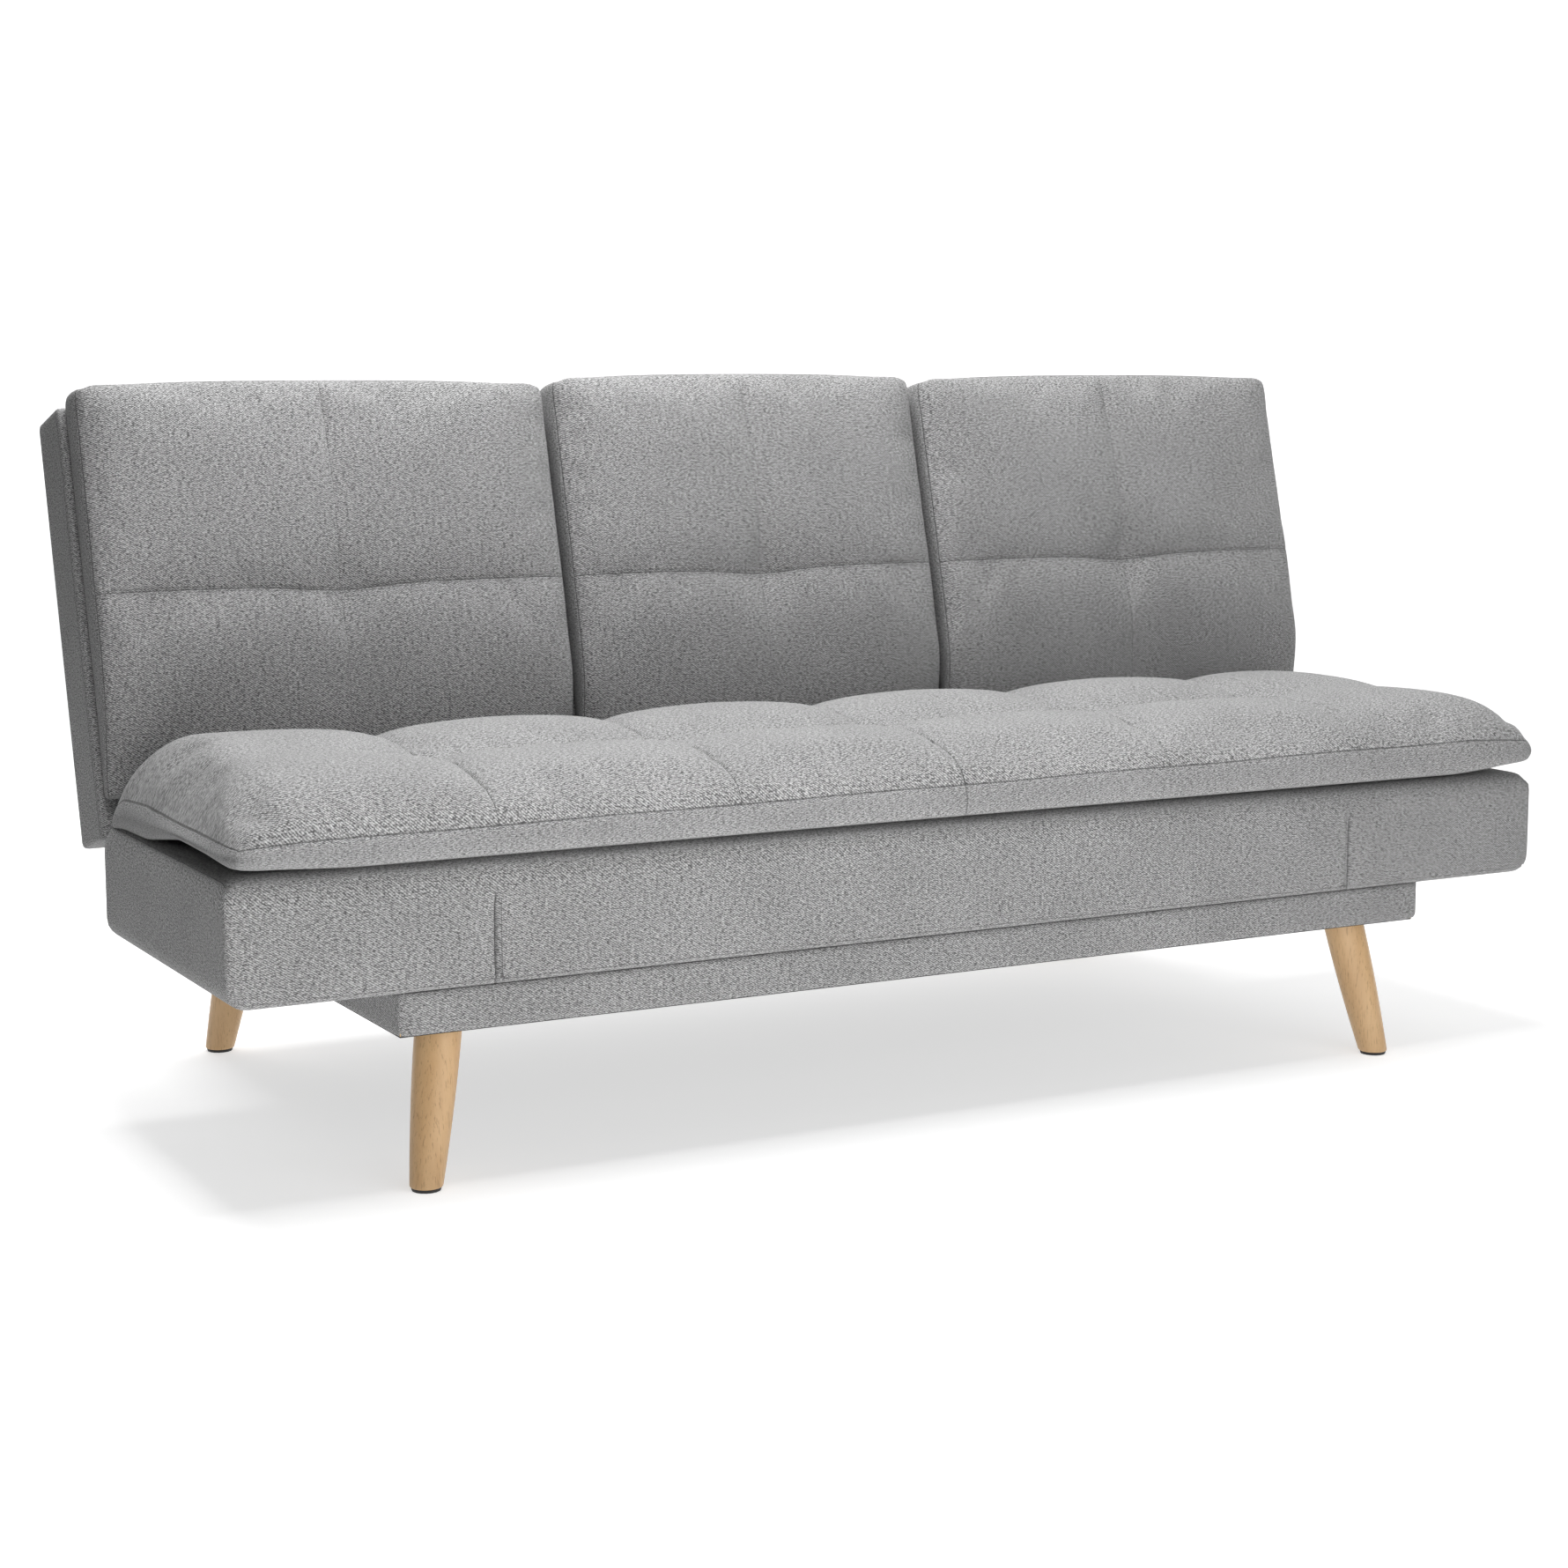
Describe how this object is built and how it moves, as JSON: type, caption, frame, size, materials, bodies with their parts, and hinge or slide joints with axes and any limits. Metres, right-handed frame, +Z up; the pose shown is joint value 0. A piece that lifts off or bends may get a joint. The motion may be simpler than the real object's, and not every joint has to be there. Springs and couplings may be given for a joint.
{
  "type": "futon sofa bed",
  "caption": "Armless futon sofa bed with a pillow-top seat, folding end wings and separately reclining back sections on a plinth with splayed wooden legs.",
  "frame": {"origin": "middle of the footprint, on the floor", "axes": "+X to the right seen from the front, along the sofa's length; +Y towards the back; +Z up"},
  "size_m": [1.83, 0.823, 0.9059],
  "materials": {
    "heather_fabric": "matte",
    "foam": "matte",
    "plywood": "matte",
    "pine_frame": "matte",
    "beech_wood": "satin",
    "hinge_steel": "satin",
    "glide_plastic": "matte",
    "dust_cloth": "matte"
  },
  "bodies": {
    "base": {"base_front_rail": "pine_frame", "base_rear_rail": "pine_frame", "base_left_rail": "pine_frame", "base_right_rail": "pine_frame", "base_left_stretcher": "pine_frame", "base_right_stretcher": "pine_frame", "base_cover_front": "heather_fabric", "base_cover_rear": "heather_fabric", "base_cover_left": "heather_fabric", "base_cover_right": "heather_fabric", "base_dust_cover": "dust_cloth", "leg_front_left": "beech_wood", "leg_front_right": "beech_wood", "leg_rear_left": "beech_wood", "leg_rear_right": "beech_wood", "foot_glide_front_left": "glide_plastic", "foot_glide_front_right": "glide_plastic", "foot_glide_rear_left": "glide_plastic", "foot_glide_rear_right": "glide_plastic", "seat_carcass": "plywood", "seat_foam": "foam", "seat_cover": "heather_fabric", "pad_centre": "heather_fabric", "pad_fold_left": "heather_fabric", "pad_fold_right": "heather_fabric", "wing_hinge_fixed_front_left": "hinge_steel", "wing_hinge_fixed_front_right": "hinge_steel", "wing_hinge_fixed_rear_left": "hinge_steel", "wing_hinge_fixed_rear_right": "hinge_steel", "recline_bracket_middle_left": "hinge_steel", "recline_bracket_middle_right": "hinge_steel", "recline_bracket_outer_left": "hinge_steel", "recline_bracket_outer_right": "hinge_steel"},
    "wing_left": {"wing_left_carcass": "plywood", "wing_left_foam": "foam", "wing_left_cover": "heather_fabric", "pad_wing_left": "heather_fabric", "wing_hinge_moving_front_left": "hinge_steel", "wing_hinge_moving_rear_left": "hinge_steel"},
    "wing_right": {"wing_right_carcass": "plywood", "wing_right_foam": "foam", "wing_right_cover": "heather_fabric", "pad_wing_right": "heather_fabric", "wing_hinge_moving_front_right": "hinge_steel", "wing_hinge_moving_rear_right": "hinge_steel"},
    "back_left": {"back_left_carcass": "plywood", "back_left_cover": "heather_fabric", "back_left_cushion": "heather_fabric", "recline_arm_left_inner": "hinge_steel", "recline_arm_left_outer": "hinge_steel"},
    "back_centre": {"back_centre_carcass": "plywood", "back_centre_cover": "heather_fabric", "back_centre_cushion": "heather_fabric", "recline_arm_centre_left": "hinge_steel", "recline_arm_centre_right": "hinge_steel"},
    "back_right": {"back_right_carcass": "plywood", "back_right_cover": "heather_fabric", "back_right_cushion": "heather_fabric", "recline_arm_right_inner": "hinge_steel", "recline_arm_right_outer": "hinge_steel"}
  },
  "joints": [
    {"name": "wing_left_fold", "type": "hinge", "parent": "base", "child": "wing_left", "pos_m": [-0.604, 0, 0.338], "axis": [0, 1, 0], "range_deg": [0, 75], "deforming": ["pad_fold_left"]},
    {"name": "wing_right_fold", "type": "hinge", "parent": "base", "child": "wing_right", "pos_m": [0.604, 0, 0.338], "axis": [0, -1, 0], "range_deg": [0, 75], "deforming": ["pad_fold_right"]},
    {"name": "back_left_recline", "type": "hinge", "parent": "base", "child": "back_left", "pos_m": [-0.5, 0.1022, 0.35668], "axis": [-1, 0, 0], "range_deg": [0, 75]},
    {"name": "back_centre_recline", "type": "hinge", "parent": "base", "child": "back_centre", "pos_m": [0, 0.1022, 0.35668], "axis": [-1, 0, 0], "range_deg": [0, 75]},
    {"name": "back_right_recline", "type": "hinge", "parent": "base", "child": "back_right", "pos_m": [0.5, 0.1022, 0.35668], "axis": [-1, 0, 0], "range_deg": [0, 75]}
  ]
}
